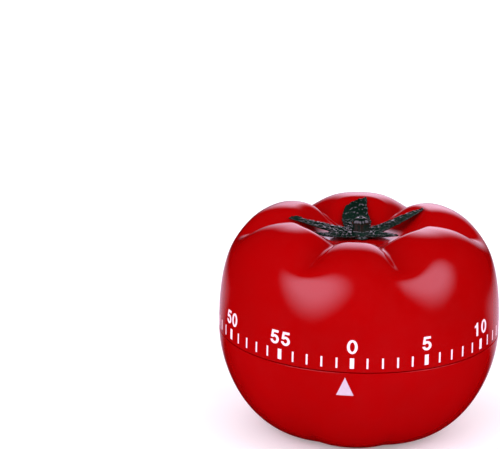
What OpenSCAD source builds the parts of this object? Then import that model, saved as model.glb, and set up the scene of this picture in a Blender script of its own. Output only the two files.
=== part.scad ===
// Wind-up sixty-minute kitchen timer in the form of a tomato.
// The lower half stands on the table and carries the clockwork; the upper half is the dial.
// Origin: centre of the flat resting face. +Z is up and the pointer faces -Y.
// Bearings round the body are azimuths: degrees from -Y towards +X.

/* [Body] */
// Radius of the tomato at its widest ring
body_radius = 33; // [28:0.5:41]
// Height of the parting line between base and dial
seam_height = 24.2; // [20:0.1:29.5]
// Height of the lobe tops above the parting line
crest_height = 26.9; // [25:0.1:32]
// Radius of the ring of lobe tops
crest_radius = 17.5; // [15:0.1:19]
// Roundness exponent of the shoulder of the dial
shoulder_power = 2.6; // [2.2:0.05:3]
// Radius of the flat resting face
rest_radius = 15.5; // [14:0.1:18]
// Wall of the moulded base
base_wall = 1.8; // [1.4:0.1:2.2]
// Wall of the moulded dial
dial_wall = 2; // [1.5:0.1:2.4]
// Visible gap at the parting line
seam_gap = 0.3; // [0.2:0.05:0.5]
// Depth of the locating lip that the dial sinks into the base
lip_depth = 2; // [1.2:0.1:3]
// Wall of the locating lip
lip_wall = 1; // [0.8:0.1:1.4]

/* [Lobes] */
// Azimuths of the creases between the lobes
creases = [-85.3, -20.8, 24.2, 94.7, 153.7, 218.7];
// Height change of each lobe, starting at the first crease
lobe_rise = [0, -1.4, 0, 0, 0, 0];
// Drop of the crease bottoms below the lobe tops
crease_drop = 4.6; // [2:0.1:5.5]
// Radius at which the creases reach their highest point
crease_radius = 16; // [14:0.1:17.5]
// How suddenly a lobe falls into its crease
crease_power = 3; // [2:0.1:4]
// Height above the parting line where the creases start
crease_start = 16; // [8:0.5:18]
// Height above the parting line where the creases reach full depth
crease_full = 26.5; // [20:0.5:28]
// Depth of the shallow flutes of the base
flute_depth = 1.4; // [0:0.1:2]

/* [Dimple and calyx] */
// Height of the dimple floor above the parting line
dimple_height = 21.9; // [19.5:0.1:24]
// Radius of the flat dimple floor
dimple_radius = 6.5; // [4:0.1:7]
// How steeply the dimple wall rises towards the lobe tops
dimple_power = 1.5; // [1:0.1:2]
// Thickness of the calyx at its centre
calyx_thickness = 1.1; // [0.8:0.1:1.6]
// Gap under the sepals
calyx_gap = 0.35; // [0.2:0.05:0.6]
// Radius of the calyx disc between the sepals
calyx_core = 4.2; // [3.5:0.1:5]
// Length of the stem above the calyx
stem_length = 4.2; // [2:0.1:8]
// Diameter of the stem at its foot
stem_diameter = 4.4; // [3:0.1:5]
// Diameter of the calyx peg
peg_diameter = 3; // [2:0.1:3.2]
// Length of the calyx peg
peg_length = 3; // [2:0.1:3.5]

/* [Plates and pillars] */
// Thickness of both movement plates
plate_thickness = 1; // [0.8:0.1:1.2]
// Height of the underside of the bottom plate
plate_height = 10; // [8.3:0.1:12]
// Diameter of the plate pillars
pillar_diameter = 3; // [2.4:0.1:3.6]
// Diameter of the threaded pillar ends
pillar_thread = 1.8; // [1.4:0.1:2]
// Thread diameter of the screws that hold the movement down
screw_diameter = 2; // [1.6:0.1:2.4]
// Outer diameter of the screw bosses in the base
boss_diameter = 5; // [4.4:0.1:5.6]

/* [Going train] */
// Diameter of the main arbor between the plates
arbor_diameter = 5; // [4.4:0.1:6]
// Diameter of the main arbor where it carries the dial
spindle_diameter = 4; // [3.3:0.1:4.8]
// Depth of the driving flat on the spindle
spindle_flat = 0.6; // [0.4:0.1:0.9]
// Diameter of the thin arbors
thin_arbor = 1.6; // [1.4:0.1:1.8]
// Diameter of the thin pivots in the plates
pivot_diameter = 0.9; // [0.7:0.1:1.1]
// Teeth of the three large wheels
wheel_teeth = 60;
// Leaves of the pinions
pinion_leaves = 10;
// Play between meshing teeth
backlash = 0.1; // [0.06:0.01:0.14]
// Radius of the wound mainspring
spring_radius = 9; // [7:0.1:9.4]
// Thickness of the mainspring strip
spring_strip = 0.35; // [0.25:0.05:0.45]
// Width of the mainspring strip
spring_width = 5; // [4.1:0.1:6]

/* [Escapement and bell] */
// Teeth of the escape wheel
escape_teeth = 20;
// Teeth of the star wheel that works the hammer
star_teeth = 15;
// Diameter of the pallet pins
pin_diameter = 0.4; // [0.3:0.05:0.45]
// Thickness of the bell metal
bell_wall = 0.6; // [0.4:0.1:0.9]
// Gap between the bell rim and the bottom plate
bell_rim_gap = 1.2; // [1:0.1:2]
// Gap between the floor of the base and the underside of the bell
bell_floor_gap = 1.6; // [1.2:0.1:2]
// Diameter of the hammer head
hammer_diameter = 2.2; // [1.6:0.1:2.6]
// Gap between the hammer at rest and the bell
hammer_gap = 0.35; // [0.3:0.05:0.5]

/* [Fits] */
// Radial play of a running fit
running_play = 0.05; // [0.02:0.01:0.09]
// Radial play of the locating lip
lip_play = 0.3; // [0.2:0.05:0.5]

/* [Hidden] */
$fn = 48;
eps = 0.01;

// Skin resolution of the two moulded halves
lobe_steps = 12;
shoulder_rings = 13;
dimple_rings = 6;
inner_rings = 9;
base_rings = 11;

// Shape constants of the moulded halves
crease_blur = 0.08;
crease_shoulder_power = 2.5;
base_side_power = 1.92;
base_foot_power = 1.86;
flute_power = 2.4;
flute_fade = 1.6;

// Locating lip and rim
rim_inner = body_radius - base_wall;
lip_outer = rim_inner - lip_play;
lip_inner = lip_outer - lip_wall;
lip_top = seam_height + lip_depth;

// Heights of the movement
plate_top = plate_height + plate_thickness;
spring_floor = plate_top + 0.6;
great_floor = spring_floor + spring_width + 0.4;
wheel_thickness = 1;
thin_wheel = 0.6;
ratchet_floor = great_floor + wheel_thickness + 0.3;
ratchet_thickness = 0.8;
second_floor = ratchet_floor + ratchet_thickness + 0.6;
third_floor = second_floor + thin_wheel + 0.8;
top_plate_height = third_floor + thin_wheel + 0.8;
movement_top = top_plate_height + plate_thickness;
escape_floor = plate_top + 2.5;
anchor_floor = escape_floor + thin_wheel + 0.6;
anchor_thickness = 0.7;
end_play = 0.05;
mesh_overhang = 0.4;

// Heights above the movement
stop_floor = movement_top + 0.3;
stop_thickness = 0.8;
cam_floor = stop_floor + stop_thickness + 0.3;
cam_thickness = 0.8;
circlip_floor = cam_floor + cam_thickness + 0.1;
circlip_thickness = 0.4;
hub_floor = circlip_floor + circlip_thickness + 0.4;
hub_radius = spindle_diameter / 2 + 2.5;
hub_top = seam_height + dimple_height - dial_wall / 2;
spindle_top = seam_height + dimple_height - dial_wall - peg_length - 1;

// Radii of the movement, kept inside the base at the height of the bottom plate
shell_clearance = 0.6;
plate_radius = base_radius_at(plate_height) - base_wall - flute_at(plate_height) - shell_clearance;
boss_circle = plate_radius - boss_diameter / 2;
screw_length = 4;
screw_floor = plate_height - screw_length;
pillar_circle = plate_radius - pillar_diameter / 2 - 1;
pillar_bearings = [42, 162, 282];
screw_bearings = [102, 222, 342];

// Gear train: tooth sizes follow the plates that hold the arbors
great_module = plate_radius / 64;
second_module = 0.75 * great_module;
third_module = 0.625 * great_module;
pressure_angle = 20;
profile_shift = 0.4;
addendum = 0.9;
great_distance = (wheel_teeth + pinion_leaves) / 2 * great_module;
second_distance = (wheel_teeth + pinion_leaves) / 2 * second_module;
third_distance = (wheel_teeth + pinion_leaves) / 2 * third_module;
third_circle = great_distance + 1.25 * great_module;
escape_circle = great_distance + 2.5 * great_module;

// Escapement: two pins straddle a toothed wheel and clear its tips at mid swing
escape_radius = 11.25 * great_module;
star_radius = 11.25 * great_module;
tip_clearance = 0.06;
pallet_distance = escape_radius + 5 * great_module;
hammer_distance = star_radius + 4.5 * great_module;
hammer_circle = great_distance - 0.25 * great_module;
tooth_depth = 1.1;
tooth_base = 0.7;
tooth_tip = 0.08;
pallet_span = 3.5;
hammer_span = 2.5;

// Bearings of the arbors, measured from +X towards +Y
second_bearing = 20;
third_bearing = second_bearing + apex_angle(great_distance, third_circle, second_distance);
escape_bearing = third_bearing + apex_angle(third_circle, escape_circle, third_distance);
pallet_bearing = escape_bearing + apex_angle(escape_circle, escape_circle, pallet_distance);
strike_bearing = 200;
hammer_bearing = strike_bearing + apex_angle(great_distance, hammer_circle, hammer_distance);

// Phases: the bearing of one tooth of each wheel
great_phase = second_bearing;
second_phase = mesh_phase(second_bearing, great_phase, wheel_teeth, pinion_leaves);
third_direction = line_bearing(place(great_distance, second_bearing), place(third_circle, third_bearing));
third_phase = mesh_phase(third_direction, second_phase, wheel_teeth, pinion_leaves);
escape_direction = line_bearing(place(third_circle, third_bearing), place(escape_circle, escape_bearing));
escape_phase = mesh_phase(escape_direction, third_phase, wheel_teeth, pinion_leaves);
strike_phase = mesh_phase(strike_bearing, great_phase, wheel_teeth, pinion_leaves);

escape_tooth = line_bearing(place(escape_circle, escape_bearing), place(escape_circle, pallet_bearing));
star_tooth = line_bearing(place(great_distance, strike_bearing), place(hammer_circle, hammer_bearing));

// Bell and hammer
bell_rim_height = plate_height - bell_rim_gap;
bell_radius = boss_circle - boss_diameter / 2 - 1.2;
bell_corner = 2.5;
corner_inset = bell_corner * (1 - cos(45));
bell_foot_height = max(base_wall + bell_floor_gap,
    base_floor_at(bell_radius - corner_inset) + bell_floor_gap / 4 - corner_inset);
post_diameter = 5;
post_spigot = 3.6;
arbor_pivot = 2.4;
hammer_lean = 55;
hammer_reach = bell_radius - bell_wall - hammer_gap - hammer_diameter / 2;
hammer_length = chord_length(hammer_circle, hammer_lean, hammer_reach);
arm_floor = plate_height - 1.1;
hammer_floor = bell_rim_height - 1.8;
arm_thickness = 0.8;

// Small parts of the movement
rivet_diameter = 1;
rivet_head = 1.8;
click_spring_strip = 0.3;
spring_post_diameter = 1.4;
spring_post_circle = spring_radius + 0.8;
second_hub = 2.4;
third_hub = 2;
balance_half = 7;
balance_width = 1.6;
balance_weight = 2.6;
collar_diameter = 3;
head_height = 1.2;
head_slot = 0.5;
head_spigot = 1;

// Ratchet and release
ratchet_radius = 4.6;
ratchet_teeth = 12;
ratchet_step = 0.8;
click_circle = 8.4;
cam_radius = 8;
notch_depth = 1.8;
notch_angle = 40;
cam_play = 0.15;
nose_bearing = 300;
lever_circle = 15;
lever_bearing = nose_bearing + acos((cam_radius + cam_play) / lever_circle);
lever_width = 1.4;
nose_width = 1.2;
stud_diameter = 2;
stop_circle = 9;
stop_diameter = 1;
stop_bearing = 60;
stop_play_angle = 6;
lug_angle = 4.8;
stud_thread = 1.2;
lever_tail_length = 5;
lever_hub = 3.4;
spring_foot_diameter = 1;
spring_foot_reach = 6;
release_strip = 0.3;

// Sepals: azimuth, length, half width in degrees, how sharply the tip narrows
sepals = [
    [-92, 16.4, 34, 1.5],
    [-60, 12, 30, 1.5],
    [76, 9.7, 26, 1.4],
    [120, 16.2, 34, 1.5],
    [180, 15.2, 48, 1.1]
];
sepal_steps = 90;
sepal_rings = 5;
sepal_tip = 0.7;

// ---------- plane geometry ----------

// Point at a given radius and bearing
function place(radius, bearing) = radius * [cos(bearing), sin(bearing)];

// Bearing of the line from one point to another
function line_bearing(from, to) = atan2(to[1] - from[1], to[0] - from[0]);

// Angle at the centre between two points a given distance apart
function apex_angle(ra, rb, distance) = acos((ra * ra + rb * rb - distance * distance) / (2 * ra * rb));

// Length of an arm that leaves a circle at a lean and ends on a larger circle
function chord_length(inner, lean, outer) =
    -inner * cos(lean) + sqrt(pow(outer, 2) - pow(inner * sin(lean), 2));

// Tooth phase of a follower that meshes with a gear of known phase
function mesh_phase(direction, phase, teeth, follower_teeth) =
    direction + 180 + 180 / follower_teeth - (phase - direction) * teeth / follower_teeth;

// ---------- surfaces of the two halves ----------

// Smooth step from 0 to 1
function smooth(value, low, high) =
    let (t = min(1, max(0, (value - low) / (high - low)))) t * t * (3 - 2 * t);

// Azimuth of the end of a lobe
function lobe_end(lobe) = lobe < len(creases) - 1 ? creases[lobe + 1] : creases[0] + 360;

// Sampling stations round the body as [azimuth, position across the lobe, lobe]
stations = [
    for (lobe = [0 : len(creases) - 1], step = [0 : lobe_steps - 1])
        let (across = sin(90 * (2 * step / lobe_steps - 1)))
        [creases[lobe] + (lobe_end(lobe) - creases[lobe]) * (across + 1) / 2, across, lobe]
];

// How far a station lies down its crease, from 0 on the crest to 1
function crease_share(across, power) =
    pow(max(0, 1 - norm([1 - abs(across), crease_blur]) / norm([1, crease_blur])), power);

// Lobe index and position across it for any azimuth
function lobe_of(azimuth) =
    let (turned = creases[0] + (azimuth - creases[0]) - 360 * floor((azimuth - creases[0]) / 360))
    max([for (lobe = [0 : len(creases) - 1]) if (turned >= creases[lobe]) lobe]);
function across_of(azimuth) =
    let (turned = creases[0] + (azimuth - creases[0]) - 360 * floor((azimuth - creases[0]) / 360),
        lobe = lobe_of(azimuth))
    2 * (turned - creases[lobe]) / (lobe_end(lobe) - creases[lobe]) - 1;

// Shoulder of the dial at slope angle phi, as [radius, height above the seam]
function shoulder(phi, equator, top_radius, top_height, power) =
    [top_radius + (equator - top_radius) * pow(cos(phi), 2 / power),
        top_height * pow(sin(phi), 2 / power)];

// Share of the dimple's depth that is left above its floor, from its rim at t = 0
function dimple_share(t) = pow(0.5 + 0.5 * cos(180 * t), dimple_power);

// Wall of the dimple, from its rim at t = 0 to its floor at t = 1
function dimple(t, top_radius, top_height, floor_height) =
    [top_radius - (top_radius - dimple_radius) * t,
        floor_height + (top_height - floor_height) * dimple_share(t)];

// Point in space from an azimuth, a radius and a height above the seam
function at_azimuth(azimuth, radius, height) =
    [radius * sin(azimuth), -radius * cos(azimuth), seam_height + height];

// Shoulder point of a station, with its crease and lobe height, for a skin set inwards by inset
function shoulder_point(station, phi, inset) =
    let (crest = shoulder(phi, body_radius - inset, crest_radius, crest_height - inset, shoulder_power),
        crease = shoulder(phi, body_radius - inset, crease_radius, crest_height - inset - crease_drop,
            crease_shoulder_power),
        depth = crease_share(station[1], crease_power) * smooth(crest[1], crease_start, crease_full),
        blend = crest * (1 - depth) + crease * depth,
        rise = lobe_rise[station[2]] * (1 - crease_share(station[1], crease_power))
            * pow(blend[1] / crest_height, 2))
    at_azimuth(station[0], blend[0], blend[1] + rise);

// Dimple point of a station
function dimple_point(station, t, inset) =
    let (depth = crease_share(station[1], crease_power),
        crest = dimple(t, crest_radius, crest_height - inset, dimple_height - inset),
        crease = dimple(t, crease_radius, crest_height - inset - crease_drop, dimple_height - inset),
        blend = crest * (1 - depth) + crease * depth,
        rise = lobe_rise[station[2]] * (1 - depth) * dimple_share(t))
    at_azimuth(station[0], blend[0], blend[1] + rise);

// Height of the dimple wall under a point of the calyx
function dimple_surface(azimuth, radius) =
    let (depth = crease_share(across_of(azimuth), crease_power),
        top_radius = crest_radius * (1 - depth) + crease_radius * depth,
        top_height = crest_height - crease_drop * depth + lobe_rise[lobe_of(azimuth)] * (1 - depth),
        t = min(1, max(0, (top_radius - radius) / (top_radius - dimple_radius))))
    dimple_height + (top_height - dimple_height) * dimple_share(t);

// Radius of the base at a given height, on a lobe
function base_radius_at(height) =
    rest_radius + (body_radius - rest_radius)
        * pow(cos(asin(pow(1 - height / seam_height, base_foot_power / 2))), 2 / base_side_power);

// Height of the inside of the base at a given radius, in the bottom of a flute
function base_floor_at(radius) =
    let (spread = (radius + flute_at(base_wall) - rest_radius) / (body_radius - base_wall - rest_radius))
    seam_height - (seam_height - base_wall)
        * pow(sin(acos(pow(max(0, spread), base_side_power / 2))), 2 / base_foot_power);

// Depth of the flutes at a given height
function flute_at(height) = flute_depth * pow(1 - height / seam_height, flute_fade);

// Point of the base skin at slope angle phi, for a skin set inwards by inset
function base_point(station, phi, inset) =
    let (height = (seam_height - inset) * pow(sin(phi), 2 / base_foot_power),
        radius = rest_radius + (body_radius - inset - rest_radius) * pow(cos(phi), 2 / base_side_power),
        flute = flute_depth * crease_share(station[1], flute_power) * pow(height / seam_height, flute_fade))
    at_azimuth(station[0], radius - flute, -height);

// Ring of constant radius and height above the seam
function plain_ring(radius, height) = [for (s = stations) at_azimuth(s[0], radius, height)];

// Closed solid through a stack of rings, with a pole point at each end
module skin(first_pole, rings, last_pole) {
    count = len(rings[0]);
    last = len(rings) - 1;
    points = concat([first_pole], [for (ring = rings) each ring], [last_pole]);
    function index(ring, step) = 1 + ring * count + step % count;
    faces = concat(
        [for (s = [0 : count - 1]) [0, index(0, s + 1), index(0, s)]],
        [for (r = [0 : last - 1], s = [0 : count - 1]) [index(r, s), index(r, s + 1), index(r + 1, s + 1)]],
        [for (r = [0 : last - 1], s = [0 : count - 1]) [index(r, s), index(r + 1, s + 1), index(r + 1, s)]],
        [for (s = [0 : count - 1]) [len(points) - 1, index(last, s), index(last, s + 1)]]
    );
    polyhedron(points, faces);
}

module dial_skin() {
    rings = concat(
        [for (i = [0 : dimple_rings - 1])
            [for (s = stations) dimple_point(s, 1 - i / dimple_rings, 0)]],
        [for (i = [0 : shoulder_rings - 1])
            [for (s = stations) shoulder_point(s, 90 * (1 - i / shoulder_rings), 0)]],
        [plain_ring(body_radius, seam_gap / 2), plain_ring(lip_outer, seam_gap / 2)],
        [plain_ring(lip_outer, -lip_depth), plain_ring(lip_inner, -lip_depth)],
        [plain_ring(lip_inner, lip_top - seam_height)],
        [for (i = [1 : inner_rings - 1])
            [for (s = stations) shoulder_point(s, 10 + 80 * i / inner_rings, dial_wall)]],
        [for (i = [0 : dimple_rings])
            [for (s = stations) dimple_point(s, i / dimple_rings, dial_wall)]]
    );
    skin([0, 0, seam_height + dimple_height], rings, [0, 0, seam_height + dimple_height - dial_wall]);
}

module base_skin() {
    rim_depth = lip_depth + 1;
    rings = concat(
        [plain_ring(rim_inner, -seam_gap / 2), plain_ring(body_radius, -seam_gap / 2)],
        [for (i = [1 : base_rings]) [for (s = stations) base_point(s, 90 * i / base_rings, 0)]]
    );
    inside = concat(
        [for (i = [0 : base_rings - 2])
            [for (s = stations) base_point(s, 90 - 78 * i / (base_rings - 1), base_wall)]],
        [plain_ring(rim_inner, -rim_depth)]
    );
    closed = concat(rings, inside);
    ring_skin(closed, [0, 0, 0], [0, 0, base_wall], base_rings + 2);
}

// Closed solid whose outer skin ends in a floor: rings before split are outside, the rest inside
module ring_skin(rings, floor_pole, inner_pole, split) {
    outside = [for (i = [0 : split - 1]) rings[split - 1 - i]];
    inner = [for (i = [split : len(rings) - 1]) rings[len(rings) - 1 - (i - split)]];
    flipped = [for (ring = concat(outside, inner)) [for (i = [len(ring) - 1 : -1 : 0]) ring[i]]];
    skin(floor_pole, flipped, inner_pole);
}

// ---------- machine elements ----------

// Full spindle section with its driving flat
module spindle_section(play) {
    intersection() {
        circle(d = spindle_diameter + 2 * play);
        translate([-spindle_diameter, -spindle_diameter])
            square([spindle_diameter * 1.5 - spindle_flat + play, 2 * spindle_diameter]);
    }
}

// Involute angle at a given radius
function involute(base, radius) =
    let (t = sqrt(max(0, pow(radius / base, 2) - 1))) t * 180 / PI - atan(t);

// Outline of a spur gear with one tooth pointing along +X
function gear_outline(teeth, size, shift) =
    let (pitch = teeth * size / 2, base = pitch * cos(pressure_angle),
        tip = pitch + size * (addendum + shift), root = pitch - size * (1.25 - shift),
        half = 90 / teeth + (2 * shift * size * tan(pressure_angle) - backlash / 2) / (2 * pitch) * 180 / PI
            + involute(base, pitch),
        start = max(base, root), middle = (start + tip) / 2,
        flank = [[root, half - involute(base, start)], [start, half - involute(base, start)],
            [middle, half - involute(base, middle)], [tip, half - involute(base, tip)]])
    [for (tooth = [0 : teeth - 1], side = [0 : 1], i = [0 : 3])
        let (station = flank[side == 0 ? i : 3 - i],
            angle = 360 / teeth * tooth + (side == 0 ? -1 : 1) * station[1])
        if (i > 0 || side == 1 || root < base) if (i < 3 || side == 0 || root < base)
            place(station[0], angle)];

module gear(teeth, size, shift, thickness) {
    linear_extrude(thickness) polygon(gear_outline(teeth, size, shift));
}

// Wheel blank with lightening windows and a bore
module spoked_wheel(teeth, size, thickness, bore, spokes, hub) {
    rim = teeth * size / 2 - 3.2 * size;
    linear_extrude(thickness) difference() {
        polygon(gear_outline(teeth, size, -profile_shift));
        circle(d = bore);
        difference() {
            circle(r = rim);
            circle(r = hub);
            for (i = [0 : spokes - 1]) rotate(360 / spokes * i)
                translate([0, -hub / 4]) square([rim + 1, hub / 2]);
        }
    }
}

// Toothed wheel with pointed teeth, one of them along +X
module pointed_wheel(teeth, radius, thickness, bore) {
    root = radius - tooth_depth;
    linear_extrude(thickness) difference() {
        union() {
            circle(r = root);
            for (i = [0 : teeth - 1]) rotate(360 / teeth * i)
                polygon([[root - 0.2, -tooth_base / 2], [radius, -tooth_tip / 2],
                    [radius, tooth_tip / 2], [root - 0.2, tooth_base / 2]]);
        }
        circle(d = bore);
    }
}

// Thin arbor between the plates with reduced pivots
module thin_shaft(low, high) {
    translate([0, 0, low]) cylinder(d = pivot_diameter, h = high - low);
    translate([0, 0, plate_top + end_play])
        cylinder(d = thin_arbor, h = top_plate_height - plate_top - 2 * end_play);
}

// Straight bar with round ends between two points
module bar(from, to, width) {
    bearing = line_bearing(from, to);
    translate(from) circle(d = width);
    translate(to) circle(d = width);
    translate(from) rotate(bearing) translate([0, -width / 2]) square([norm(to - from), width]);
}

// Pin position on a pallet anchor, measured from the wheel axis
function pallet_pin(radius, teeth, span, side) =
    place(radius + pin_diameter / 2 + tip_clearance, side * span * 180 / teeth);

// Anchor plate in the frame of its wheel: the anchor axis lies along +X
module anchor(radius, teeth, span, distance) {
    difference() {
        union() {
            for (side = [-1, 1])
                bar([distance, 0], pallet_pin(radius, teeth, span, side), 3 * pin_diameter);
            translate([distance, 0]) circle(d = 2 * thin_arbor);
        }
        translate([distance, 0]) circle(d = thin_arbor);
        for (side = [-1, 1]) translate(pallet_pin(radius, teeth, span, side)) circle(d = pin_diameter);
    }
}

module anchor_pins(radius, teeth, span) {
    for (side = [-1, 1]) translate(pallet_pin(radius, teeth, span, side))
        cylinder(d = pin_diameter, h = anchor_floor + anchor_thickness - escape_floor + 0.2);
}

module at(radius, bearing, height) {
    translate(concat(place(radius, bearing), [height])) children();
}

// ---------- body ----------

module base_shell() {
    color([0.72, 0.02, 0.05]) difference() {
        union() {
            base_skin();
            intersection() {
                boss_limit();
                for (bearing = screw_bearings) at(boss_circle, bearing, 0)
                    cylinder(d = boss_diameter, h = plate_height);
            }
        }
        for (bearing = screw_bearings) at(boss_circle, bearing, screw_floor)
            cylinder(d = screw_diameter, h = plate_height);
    }
}

// Round body that keeps the screw bosses inside the middle of the base wall
module boss_limit() {
    steps = 8;
    heights = [for (i = [0 : steps]) base_wall / 2 + (plate_height + 1 - base_wall / 2) * i / steps];
    rotate_extrude() polygon(concat([[0, heights[0]]],
        [for (z = heights) [base_radius_at(z) - base_wall / 2 - flute_at(z), z]], [[0, heights[steps]]]));
}

module dial_shell() {
    color([0.78, 0.02, 0.06]) difference() {
        union() {
            dial_skin();
            translate([0, 0, hub_floor]) cylinder(r = hub_radius, h = hub_top - hub_floor);
        }
        translate([0, 0, hub_floor - 1]) linear_extrude(spindle_top + 0.3 - hub_floor + 1)
            spindle_section(running_play / 2);
        translate([0, 0, seam_height + dimple_height - peg_length - 0.3])
            cylinder(d = peg_diameter, h = peg_length + 1);
    }
}

// How far the calyx reaches at an azimuth
function sepal_reach(azimuth) = max([
    for (sepal = sepals)
        let (away = abs((azimuth - sepal[0] + 540) % 360 - 180))
        calyx_core + (sepal[1] - calyx_core) * pow(max(0, 1 - away / sepal[2]), sepal[3])
]);

// Ring of calyx points at a share of the reach, lifted above the dimple wall
function calyx_ring(share, lift) = [
    for (i = [0 : sepal_steps - 1])
        let (azimuth = 360 / sepal_steps * i - 180, radius = share * sepal_reach(azimuth),
            seat = radius <= dimple_radius - 0.5 ? dimple_height
                : dimple_surface(azimuth, radius) + calyx_gap)
        at_azimuth(azimuth, radius, seat + lift)
];

module calyx() {
    top = seam_height + dimple_height + calyx_thickness;
    shares = [for (i = [1 : sepal_rings]) i / sepal_rings];
    rings = concat(
        [for (share = shares) calyx_ring(share, calyx_thickness + (sepal_tip - calyx_thickness) * share)],
        [for (i = [sepal_rings - 1 : -1 : 0]) calyx_ring(shares[i], 0)]
    );
    color([0.05, 0.2, 0.07]) {
        skin([0, 0, top], rings, [0, 0, seam_height + dimple_height]);
        translate([0, 0, top - 0.5])
            cylinder(d1 = stem_diameter, d2 = 0.8 * stem_diameter, h = stem_length + 0.5);
        translate([0, 0, seam_height + dimple_height - peg_length])
            cylinder(d = peg_diameter, h = peg_length + 0.5);
    }
}

// ---------- main arbor ----------

module main_arbor() {
    color([0.75, 0.75, 0.78]) {
        translate([0, 0, plate_height + 0.2]) cylinder(d = arbor_pivot, h = plate_thickness + 1);
        translate([0, 0, plate_top + end_play])
            cylinder(d = arbor_diameter, h = top_plate_height - plate_top - 2 * end_play);
        translate([0, 0, top_plate_height - 1])
            cylinder(d = spindle_diameter, h = plate_thickness + 1.1);
        translate([0, 0, movement_top]) linear_extrude(spindle_top - movement_top) spindle_section(0);
    }
}

module ratchet_wheel() {
    step = 360 / ratchet_teeth;
    color([0.8, 0.66, 0.3]) translate([0, 0, ratchet_floor]) linear_extrude(ratchet_thickness)
        difference() {
            polygon([for (i = [0 : ratchet_teeth - 1]) each [
                place(ratchet_radius, step * i), place(ratchet_radius - ratchet_step, step * i + 1)]]);
            circle(d = arbor_diameter);
        }
}

module release_cam() {
    notch = nose_bearing - stop_play_angle;
    color([0.8, 0.66, 0.3]) {
        translate([0, 0, stop_floor]) linear_extrude(cam_floor - stop_floor + eps) difference() {
            circle(r = cam_radius - notch_depth - 0.4);
            spindle_section(0);
        }
        translate([0, 0, stop_floor]) rotate(stop_bearing - stop_play_angle)
            linear_extrude(stop_thickness) polygon([
                place(cam_radius - notch_depth - 1, -lug_angle / 2),
                place(stop_circle + stop_diameter, -lug_angle / 2),
                place(stop_circle + stop_diameter, lug_angle / 2),
                place(cam_radius - notch_depth - 1, lug_angle / 2)]);
        translate([0, 0, cam_floor]) linear_extrude(cam_thickness) difference() {
            circle(r = cam_radius);
            spindle_section(0);
            difference() {
                polygon([[0, 0], place(2 * cam_radius, notch - notch_angle / 2),
                    place(2 * cam_radius, notch + notch_angle / 2)]);
                circle(r = cam_radius - notch_depth);
            }
        }
    }
}

module arbor_circlip() {
    color([0.55, 0.56, 0.6]) translate([0, 0, circlip_floor]) linear_extrude(circlip_thickness)
        difference() {
            circle(d = spindle_diameter + 2.4);
            spindle_section(0);
            translate([-spindle_diameter * 2, -0.9]) square([spindle_diameter * 2, 1.8]);
        }
}

// ---------- great wheel and click ----------

module great_wheel() {
    color([0.85, 0.7, 0.32]) at(0, 0, great_floor) difference() {
        rotate(great_phase) gear(wheel_teeth, great_module, -profile_shift, wheel_thickness);
        translate([0, 0, -1]) cylinder(d = arbor_diameter + 2 * running_play, h = wheel_thickness + 2);
        for (rivet = rivet_places) translate(concat(rivet, [-1]))
            cylinder(d = rivet_diameter, h = wheel_thickness + 2);
    }
}

// The click turns on the first rivet, and the second one holds its spring
rivet_places = [place(click_circle, 40), place(click_circle, 115)];

module click() {
    color([0.6, 0.6, 0.64]) translate([0, 0, ratchet_floor]) linear_extrude(ratchet_thickness - 0.1)
        difference() {
            union() {
                translate(rivet_places[0]) circle(d = 2.6);
                polygon([rivet_places[0] + [1.2, -0.5], rivet_places[0] + [-0.6, 1],
                    place(ratchet_radius + 0.1, 5), place(ratchet_radius + 0.9, 1)]);
            }
            translate(rivet_places[0]) circle(d = rivet_diameter);
        }
}

module click_rivets() {
    reach = wheel_thickness + ratchet_thickness + 0.3;
    color([0.7, 0.7, 0.74]) for (rivet = rivet_places) translate(concat(rivet, [great_floor])) {
        cylinder(d = rivet_diameter, h = reach);
        translate([0, 0, reach]) cylinder(d = rivet_head, h = 0.2);
    }
}

module click_spring() {
    arc_radius = click_circle + 1.5;
    color([0.7, 0.7, 0.74]) translate([0, 0, great_floor + wheel_thickness + 0.1]) linear_extrude(0.7)
        difference() {
            union() {
                translate(rivet_places[1]) circle(d = 2);
                polygon(concat(
                    [for (b = [50 : 5 : 115]) place(arc_radius, b)],
                    [for (b = [115 : -5 : 50]) place(arc_radius - click_spring_strip, b)]));
                translate(place(click_circle, 115)) rotate(115) translate([0, -0.5]) square([1.5, 1]);
            }
            translate(rivet_places[1]) circle(d = rivet_diameter);
        }
}

// ---------- mainspring ----------

module mainspring() {
    turns = 5;
    steps = 18;
    inner = arbor_diameter / 2 + 0.35;
    pitch = (spring_radius - inner - spring_strip) / turns;
    spiral = [for (i = [0 : turns * steps]) [inner + pitch * i / steps, 360 / steps * i]];
    color([0.45, 0.47, 0.52]) translate([0, 0, spring_floor]) linear_extrude(spring_width)
        polygon(concat([for (s = spiral) place(s[0], s[1])],
            [for (i = [len(spiral) - 1 : -1 : 0]) place(spiral[i][0] + spring_strip, spiral[i][1])]));
}

// The strip ends at bearing 0, where the post holds it
module spring_post() {
    color([0.7, 0.7, 0.74]) at(spring_post_circle, 0, plate_height)
        cylinder(d = spring_post_diameter, h = spring_floor + spring_width - plate_height);
}

// ---------- plates ----------

module pivot_holes(places, diameter) {
    for (hole = places) translate(hole) circle(d = diameter);
}

thin_pivots = [place(great_distance, second_bearing), place(third_circle, third_bearing),
    place(escape_circle, escape_bearing), place(great_distance, strike_bearing)];
pallet_place = place(escape_circle, pallet_bearing);
hammer_place = place(hammer_circle, hammer_bearing);

module bottom_plate() {
    color([0.83, 0.7, 0.4]) translate([0, 0, plate_height]) linear_extrude(plate_thickness) difference() {
        circle(r = plate_radius);
        circle(d = post_spigot);
        pivot_holes(concat(thin_pivots, [pallet_place]), pivot_diameter + 2 * running_play);
        translate(hammer_place) circle(d = thin_arbor + 2 * running_play);
        for (b = pillar_bearings) translate(place(pillar_circle, b)) circle(d = pillar_thread);
        for (b = screw_bearings) translate(place(boss_circle, b)) circle(d = screw_diameter + 0.2);
        translate([spring_post_circle, 0]) circle(d = spring_post_diameter);
    }
}

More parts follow.
